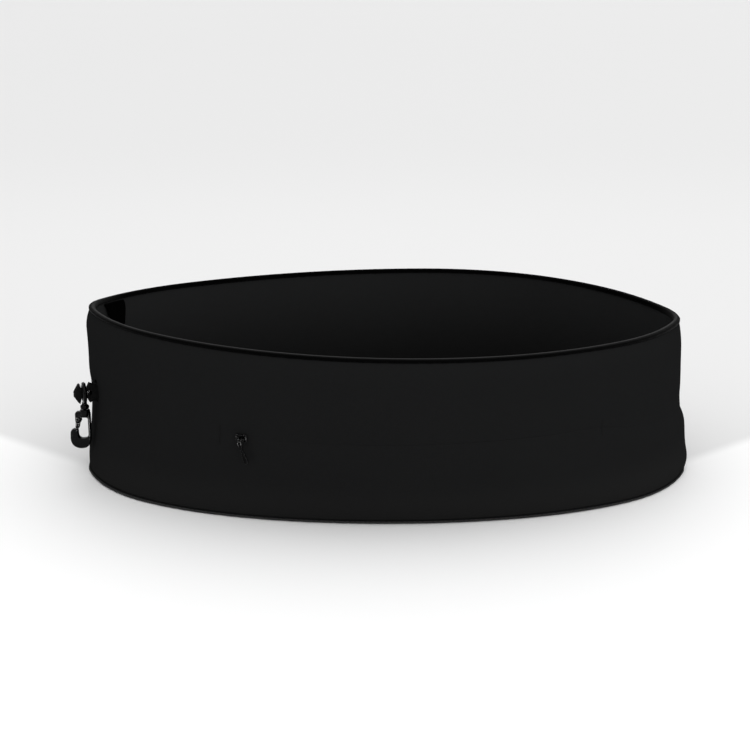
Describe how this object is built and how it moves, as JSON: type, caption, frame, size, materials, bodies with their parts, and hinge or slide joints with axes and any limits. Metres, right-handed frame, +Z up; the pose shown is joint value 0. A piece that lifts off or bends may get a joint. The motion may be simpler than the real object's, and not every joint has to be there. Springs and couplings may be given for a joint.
{
  "type": "money belt",
  "caption": "Tubular stretch-knit waist money belt with a concealed zip pocket, lapped pocket slit and a swivel key hook on a ribbon tether.",
  "frame": {"origin": "middle of the bounding box, on the surface the belt's bottom edge stands on", "axes": "+X to the right along the loop's long axis as seen from the front, +Y towards the back, +Z up"},
  "size_m": [0.3402, 0.2244, 0.089],
  "materials": {
    "knit": "matt fine double-knit",
    "binding": "smooth fold-over elastic with a soft sheen",
    "tape": "woven tape",
    "ribbon": "grosgrain ribbon",
    "label": "satin woven label, blank",
    "thread": "sewing thread",
    "coil": "moulded monofilament coil",
    "slider_paint": "semi-gloss black enamel",
    "gunmetal": "polished black nickel",
    "spring_steel": "bright wire"
  },
  "bodies": {
    "belt": {"inner_panel": "knit", "outer_upper_panel": "knit", "outer_lower_panel": "knit", "rear_slit_underlap": "knit", "front_slit_underlap": "knit", "top_edge_binding": "binding", "bottom_edge_binding": "binding", "joining_seam_tape": "tape", "care_label": "label", "bar_tack_zip_left": "thread", "bar_tack_zip_right": "thread", "bar_tack_rear_right": "thread", "bar_tack_rear_left": "thread", "zip_upper_tape": "tape", "zip_lower_tape": "tape", "zip_upper_coil": "coil", "zip_lower_coil": "coil", "zip_left_stop": "gunmetal", "zip_right_stop": "gunmetal", "key_tether": "ribbon", "tether_rivet": "gunmetal"},
    "slider": {"slider_body": "slider_paint"},
    "pull_link": {"pull_ring": "slider_paint"},
    "pull": {"pull_tab": "slider_paint"},
    "eye": {"swivel_eye": "gunmetal"},
    "hook": {"hook_body": "gunmetal", "gate_pin": "gunmetal", "gate_spring": "spring_steel"},
    "gate": {"hook_gate": "gunmetal"}
  },
  "joints": [
    {"name": "zip_travel", "type": "hinge", "parent": "belt", "child": "slider", "pos_m": [0.00289, 0.09688, 0.0445], "axis": [0, 0, 1], "range_deg": [0, 48]},
    {"name": "pull_lift", "type": "hinge", "parent": "slider", "child": "pull_link", "pos_m": [-0.07102, -0.10185, 0.0445], "axis": [-0.9373, 0.3486, 0], "range_deg": [-8, 110]},
    {"name": "pull_swing", "type": "hinge", "parent": "pull_link", "child": "pull", "pos_m": [-0.07102, -0.10185, 0.04225], "axis": [0.3486, 0.9373, 0], "range_deg": [-50, 90]},
    {"name": "eye_swing", "type": "hinge", "parent": "belt", "child": "eye", "pos_m": [-0.16159, -0.03206, 0.0478], "axis": [-0.8829, -0.4695, 0], "range_deg": [-75, 75]},
    {"name": "hook_swivel", "type": "hinge", "parent": "eye", "child": "hook", "pos_m": [-0.16159, -0.03206, 0.0358], "axis": [0, 0, 1], "range_deg": [-75, 130]},
    {"name": "gate_open", "type": "hinge", "parent": "hook", "child": "gate", "pos_m": [-0.16539, -0.03206, 0.0333], "axis": [0, -1, 0], "range_deg": [0, 26], "stiffness_Nm_per_rad": 0.0005, "springref_deg": -17.19}
  ]
}
